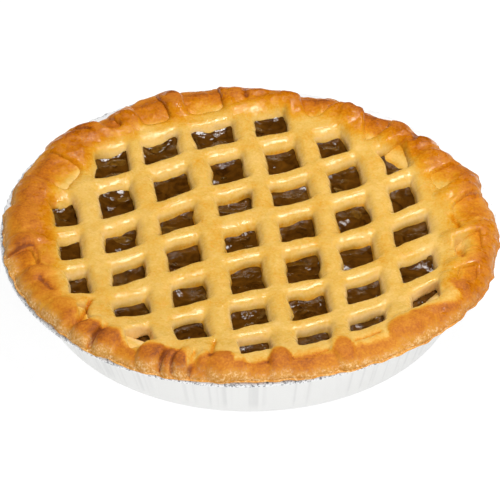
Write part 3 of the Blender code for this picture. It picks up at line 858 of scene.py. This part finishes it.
def tin_profile():
    """The foil's closed section: out along the base, up the wall, round the roll and back inside."""
    under = [(0.01, 0.0)] + [(radius, 0.0) for radius in np.linspace(30, TIN_BASE_RADIUS, 6)]
    for part in (0.2, 0.4, 0.6, 0.8, 1.0):
        angle = TIN_SLOPE * part
        under.append((TIN_BASE_RADIUS + TIN_CORNER_RADIUS * math.sin(angle),
                      TIN_CORNER_RADIUS * (1 - math.cos(angle))))
    foot = under[-1]
    top = (TIN_TOP_RADIUS, TIN_HEIGHT - FOIL)
    wall = [(foot[0] + (top[0] - foot[0]) * t, foot[1] + (top[1] - foot[1]) * t)
            for t in np.linspace(0, 1, 17)[1:]]
    under += wall + [(radius, TIN_HEIGHT - FOIL) for radius in TIN_FLANGE]
    roll = [(TIN_RADIUS - TIN_BEAD_RADIUS + TIN_BEAD_RADIUS * math.cos(math.radians(degrees)),
             TIN_HEIGHT - TIN_BEAD_RADIUS + TIN_BEAD_RADIUS * math.sin(math.radians(degrees)))
            for degrees in range(-130, 91, 20)]
    over = [(radius, TIN_HEIGHT) for radius in reversed(TIN_FLANGE)]
    over += [(radius - FOIL, height) for radius, height in reversed(wall)]
    return under + roll + over + [(TIN_BASE_RADIUS - 1, FOIL), (40, FOIL), (0.01, FOIL)]


def build_tin(material):
    """The foil, with faint pleats in its wall and a wrinkled roll."""
    points, faces = turned(tin_profile(), TIN_STEPS)
    radius, angle = polar(points[:, 0], points[:, 1])
    height = points[:, 2]
    round_trip = np.stack([np.cos(angle) * 60, np.sin(angle) * 60, np.zeros_like(angle)], axis=1)
    pleat = noise(round_trip, 1.7, 71) + 0.6 * noise(round_trip, 0.9, 72)
    on_wall = ease(height, 2, 9) * (1 - ease(height, 28, 31)) * (radius > 90)
    on_roll = ease(radius, 110.5, 112.5)
    dent = noise(points, 2.4, 73) * 0.28 + noise(points, 1.2, 74) * 0.14
    push = 0.22 * pleat * on_wall + dent * on_roll
    points[:, :2] *= (1 + push / radius)[:, None]
    points[:, 2] += 0.8 * dent * on_roll - 0.1 * on_roll
    # Where the roll is specked with painted reflections.
    reflection_share = at_heading(angle, ROLL_REFLECTIONS) * on_roll * (height > 28)
    # Painted shade in lines down the wall where the pleats' grooves are, and a paler lip along the top.
    pleat_shade_and_lip = ease(noise(round_trip, 0.7, 75), 0.25, 0.8)
    pleat_shade_and_lip = np.maximum(0.3 * pleat_shade_and_lip * on_wall, ease(height, 31, 31.5))
    points = out_of_round(points)
    points[:, 2] = np.maximum(points[:, 2], 0.0)
    thing = new_object("foil_pan", points, faces, material)
    paint(thing, "roll", reflection_share)
    paint(thing, "pleat", pleat_shade_and_lip)
    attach(thing, "root")
    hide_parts("foil_tin")


# --- materials ---

class Nodes:
    """A short way to wire the nodes of a material or world."""

    def __init__(self, owner, shader="Principled BSDF", place="Object"):
        owner.use_nodes = True
        self.owner = owner
        self.tree = owner.node_tree
        self.shader = self.tree.nodes[shader]
        self.place = self.make("TexCoord").outputs[place]

    def feed(self, slot, value):
        """Link another socket to this one, or give it a constant."""
        if isinstance(value, bpy.types.NodeSocket):
            self.tree.links.new(value, slot)
        else:
            slot.default_value = value

    def set(self, name, value):
        self.feed(self.shader.inputs[name], value)

    def make(self, kind, **values):
        made = self.tree.nodes.new("ShaderNode" + kind)
        for name, value in values.items():
            self.feed(made.inputs[name], value)
        return made

    def noise(self, size_mm, detail=3.0, roughness=0.55, distortion=0.0):
        made = self.make("TexNoise", Scale=1000.0 / size_mm, Detail=detail, Roughness=roughness,
                         Distortion=distortion, Vector=self.place)
        return made.outputs["Fac"]

    def attribute(self, name):
        made = self.make("Attribute")
        made.attribute_name = name
        return made.outputs["Fac"]

    def math(self, operation, *values, clamp=False):
        made = self.make("Math")
        made.operation = operation
        made.use_clamp = clamp
        for slot, value in zip(made.inputs, values):
            self.feed(slot, value)
        return made.outputs[0]

    def ramp(self, factor, *stops):
        made = self.make("ValToRGB", Fac=factor)
        elements = made.color_ramp.elements
        while len(elements) < len(stops):
            elements.new(0.5)
        for element, (place, colour) in zip(elements, stops):
            element.position = place
            element.color = (*colour, 1)
        return made.outputs["Color"]

    def mix(self, factor, a, b):
        made = self.make("Mix")
        made.data_type = "RGBA"
        for name, value in (("Factor", factor), ("A", a), ("B", b)):
            self.feed([s for s in made.inputs if s.name == name and s.enabled][0], value)
        return [s for s in made.outputs if s.enabled][0]

    def bump(self, height, distance_mm, strength, below=None):
        made = self.make("Bump", Strength=strength, Distance=distance_mm * MM, Height=height)
        if below:
            self.feed(made.inputs["Normal"], below)
        return made.outputs["Normal"]


def paint(thing, name, values):
    attribute = thing.data.attributes.new(name, "FLOAT", "POINT")
    attribute.data.foreach_set("value", np.asarray(values, dtype=np.float32))


def normals(thing):
    values = np.empty(len(thing.data.vertices) * 3, dtype=np.float32)
    thing.data.vertex_normals.foreach_get("vector", values)
    return values.reshape(-1, 3)


# Colours of the crust as it browns, and of the crumb on its outer face.
BROWN = (
    (0.0, (0.76, 0.51, 0.21)), (0.18, (0.72, 0.455, 0.13)), (0.34, (0.655, 0.39, 0.078)),
    (0.52, (0.62, 0.275, 0.016)), (0.7, (0.53, 0.175, 0.004)), (0.85, (0.41, 0.108, 0.002)),
    (1.0, (0.22, 0.05, 0.003)),
)
CRUMB = ((0.32, (0.5, 0.19, 0.03)), (0.5, (0.7, 0.35, 0.085)), (0.66, (0.95, 0.68, 0.36)))


def crust_material(name, roughness, shine):
    m = Nodes(bpy.data.materials.new(name))
    patch = m.math("SUBTRACT", m.noise(9), 0.5)
    fleck = m.noise(1.1, 4, 0.65)
    # The bake attribute holds the browning together with painted light: shade in creases and hollows, a
    # sheen on the walls, and light on the rim's outer left.
    bake = m.math("MULTIPLY_ADD", patch, 0.34, m.attribute("bake"))
    bake = m.math("MULTIPLY_ADD", m.math("SUBTRACT", fleck, 0.5), 0.6, bake, clamp=True)
    # The crumbly outer face: paler, rougher dough that shows in patches.
    mottle = m.math("SUBTRACT", m.noise(3, 5, 0.7), 0.5)
    mottle = m.math("MULTIPLY_ADD", mottle, 3.0, 0.8)
    crumb = m.math("MULTIPLY", m.attribute("crumb"), mottle, clamp=True)
    m.set("Base Color", m.mix(crumb, m.ramp(bake, *BROWN), m.ramp(fleck, *CRUMB)))
    # The egg wash lies in smears: glossy where it is thick and dull between.
    smear = m.math("SUBTRACT", m.noise(3.5), 0.5)
    bare = m.math("MULTIPLY_ADD", m.attribute("matt"), 0.5, smear)
    bare = m.math("MULTIPLY", bare, 6.0, clamp=True)
    rough = m.math("MULTIPLY_ADD", bare, 0.65, roughness)
    m.set("Roughness", m.math("MULTIPLY_ADD", crumb, 0.2, rough, clamp=True))
    m.set("IOR", 1.45)
    m.set("Specular IOR Level", shine)
    m.set("Specular Tint", (1.0, 0.97, 0.9, 1.0))
    m.set("Subsurface Weight", 0.06)
    m.set("Subsurface Radius", (0.003, 0.0014, 0.0005))
    m.set("Subsurface Scale", 1.0)
    grain = m.math("MULTIPLY", m.noise(0.9, 3, 0.6), m.math("MULTIPLY_ADD", crumb, 2.5, 1.0))
    m.set("Normal", m.bump(grain, 0.2, 0.6, m.bump(m.noise(4, 2), 0.5, 0.5)))
    return m.owner


def wet_material(name, blotch, twist, dark, light, roughness, ripple, swell):
    """Glossy fruit, with blotches between two colours and soft ripples."""
    m = Nodes(bpy.data.materials.new(name))
    m.set("Base Color", m.ramp(m.noise(blotch, 4.0, 0.6, twist), (0.3, dark), (0.7, light)))
    m.set("Roughness", roughness)
    m.set("Specular IOR Level", 0.3)
    m.set("Normal", m.bump(m.noise(ripple, 2.0), swell, swell))
    return m.owner


def foil_material():
    m = Nodes(bpy.data.materials.new("crinkled_foil"))
    # Painted reflections on the roll: dark and white specks in place of the crinkled foil's reflections.
    painted_reflections = m.ramp(m.noise(1.3, 4, 0.7), (0.38, (0.2, 0.2, 0.21)), (0.5, (0.9, 0.9, 0.9)))
    # The wall's colour: painted shade in lines over the pleats, paler along the lip.
    wall = m.ramp(m.attribute("pleat"), (0.0, (0.82, 0.82, 0.805)), (0.3, (0.73, 0.73, 0.72)),
                  (1.0, (0.95, 0.95, 0.95)))
    m.set("Base Color", m.mix(m.attribute("roll"), wall, painted_reflections))
    m.set("Metallic", 0.2)
    m.set("Roughness", 0.32)
    m.set("Normal", m.bump(m.noise(2.2), 0.25, 0.5))
    return m.owner


PLAIN_BAKE = 0.33
# Browning of the rim: heading in degrees, radius where it starts, and how much it adds.
BROWNING = (
    (0, 30, 60, 90, 120, 150, 180, 210, 240, 270, 300, 330, 360),
    (86, 84, 84, 84, 81, 83, 83, 90, 93, 92, 92, 92, 86),
    (0.34, 0.44, 0.42, 0.44, 0.44, 0.46, 0.45, 0.40, 0.46, 0.44, 0.38, 0.46, 0.34),
)


def browning_with_painted_light(x, y, z, up, start_of_rim):
    """How browned the crust is, with painted shade and light added, from 0, pale, to 1, dark, at points
    with upward facing `up`.
    """
    angle = np.arctan2(y, x)
    heading = np.degrees(angle) % 360
    radius = PLAN.read("radius", x, y)
    wander = 4.0 * uneven(x, y, 26, 81) + 2.0 * uneven(x, y, 9, 83)
    start = at_heading(angle, BROWNING)
    on_column = on_column_strip(PLAN.read("row", x, y), 5.0)
    rim = ease(radius + wander + 3 * on_column, start, start + 17)
    # Along the front the brown starts at a clear edge.
    edge = at_heading(angle, BROWNED_EDGE) - 0.5 * uneven(x, y, 3, 84)
    at_front = ease(heading, 220, 230) * (1 - ease(heading, 322, 342))
    crisp = ease(radius - edge, -2.4, 0.6) * (1 - 0.2 * ease(radius, 106, 112))
    rim = (rim + at_front * (crisp - rim)) * ease(radius, start_of_rim, start_of_rim + 8)
    # On the rim's outer left face the brown is lessened: painted light where the lamps leave that face in
    # shade.
    rim_browning_less_painted_light = at_heading(angle, BROWNING, 2) - 0.2 * ease(radius, 105, 111) * ease(-x, 20, 90)
    # The slits and creases are painted darker: painted shade along them.
    bake = PLAIN_BAKE + 0.07 * uneven(x, y, 22, 82) + rim * rim_browning_less_painted_light + 0.2 * PLAN.read("cut", x, y)
    # The openings' walls are paler where they face sideways: less browned dough, with a painted sheen
    # over it. Low on the walls, near the filling, they are darker.
    bake = bake - 0.26 * ease(1 - up, 0.12, 0.6) * (1 - rim)
    bake = bake + 0.4 * ease(-z, -33.5, -30) * (1 - ease(radius, 84, 92))
    # Ridges on the rim are browner, toasted; hollows between the lumps are darker, painted shade.
    hollow = PLAN.read("hollow", x, y)
    toasted_ridges_and_hollow_shade = 0.16 * np.clip(-hollow - 0.1, 0, 1) + 0.10 * np.clip(hollow, 0, 1)
    return bake + toasted_ridges_and_hollow_shade * ease(radius, 92, 99)


# --- camera, light and floor ---

def build_stage():
    scene = bpy.context.scene
    scene.view_settings.view_transform = "Standard"
    camera = bpy.data.cameras.new("camera")
    holder = bpy.data.objects.new("camera", camera)
    scene.collection.objects.link(holder)
    holder.location = (0, -CAMERA_DISTANCE * math.cos(CAMERA_TILT),
                       CAMERA_AIM + CAMERA_DISTANCE * math.sin(CAMERA_TILT))
    holder.rotation_euler = (math.pi / 2 - CAMERA_TILT, 0, 0)
    camera.sensor_width = 36
    camera.lens = CAMERA_LENS
    camera.shift_x = 0.001
    camera.shift_y = 0.0038
    camera.clip_end = 10
    scene.camera = holder
    build_world(scene)
    paper = Nodes(bpy.data.materials.new("white_paper"))
    paper.set("Base Color", (0.2, 0.2, 0.2, 1))
    paper.set("Roughness", 0.9)
    paper.set("Emission Color", (1, 1, 1, 1))
    paper.set("Emission Strength", 0.86)
    corners = [(a * FLOOR_REACH, b * FLOOR_REACH, 0) for a, b in ((-1, -1), (1, -1), (1, 1), (-1, 1))]
    floor = new_object("floor", corners, [(0, 1, 2, 3)], paper.owner)
    for name, (place, size, power) in LAMPS.items():
        add_light(name, place, size, power)


def build_world(scene):
    """A studio that is bright overhead and in front, and dark behind the pie."""
    scene.world = bpy.data.worlds.new("studio")
    m = Nodes(scene.world, "Background", "Generated")
    split = m.make("SeparateXYZ", Vector=m.place).outputs
    lean = m.math("SUBTRACT", split["Z"], split["Y"])
    m.set("Color", m.ramp(lean, (0.45, (0.03, 0.03, 0.03)), (0.95, (1, 1, 1))))
    m.set("Strength", 0.7)
    scene.world.cycles_visibility.glossy = False


def add_light(name, place, size, power):
    """A square lamp that shines at the pie. The wide soft one in front makes no glints."""
    light = bpy.data.lights.new(name, "AREA")
    light.size = size
    light.energy = power
    holder = bpy.data.objects.new(name, light)
    holder.location = place
    holder.rotation_euler = (-Vector(place)).to_track_quat("-Z", "Y").to_euler()
    holder.visible_glossy = name != "front_fill"
    bpy.context.scene.collection.objects.link(holder)


# --- the pie ---

def build_lattice(material):
    points, faces = net(lattice_field, (-119, -119, 25.6), (119, 115, 43), LATTICE_STEP)
    thing = new_object("lattice_crust", points, faces, material)
    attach(thing, "root")
    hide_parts("lattice_top")
    return thing


def bake(thing, start_of_rim, extra, gloss):
    """Paint how browned the crust is, painted shade and light included, and how matt and how crumbly it
    is at each point.
    """
    points = np.array([vertex.co for vertex in thing.data.vertices]) / MM
    x, y, z = points.T
    up = normals(thing)[:, 2]
    paint(thing, "bake", browning_with_painted_light(x, y, z, up, start_of_rim) + extra)
    front = ease(-y - 0.5 * x, 0, 60)
    on_rim = ease(np.hypot(x, y), 90, 102)
    paint(thing, "matt", (0.22 + 0.5 * front) * on_rim - gloss * (1 - on_rim))
    low = ease(PLAN.read("radius", x, y), 105, 111) * ease(1 - up, 0.1, 0.6)
    paint(thing, "crumb", low * (0.3 + 0.6 * front))


def main():
    build_stage()
    lattice = build_lattice(crust_material("golden_crust", 0.03, 0.4))
    bake(lattice, 74, 0, 0)
    case = build_case(crust_material("matt_crust", 0.3, 0.3))
    bake(case, 85, 0.04, 0.3)
    dark, light = (0.026, 0.0075, 0.0006), (0.10, 0.036, 0.003)
    build_filling(wet_material("dark_jelly", 6.0, 1.0, dark, light, 0.1, 2.5, 0.5))
    dark, light = (0.042, 0.016, 0.0015), (0.15, 0.065, 0.007)
    build_slices(wet_material("stewed_apple", 5.0, 2.0, dark, light, 0.14, 1.8, 0.4))
    build_tin(foil_material())


main()
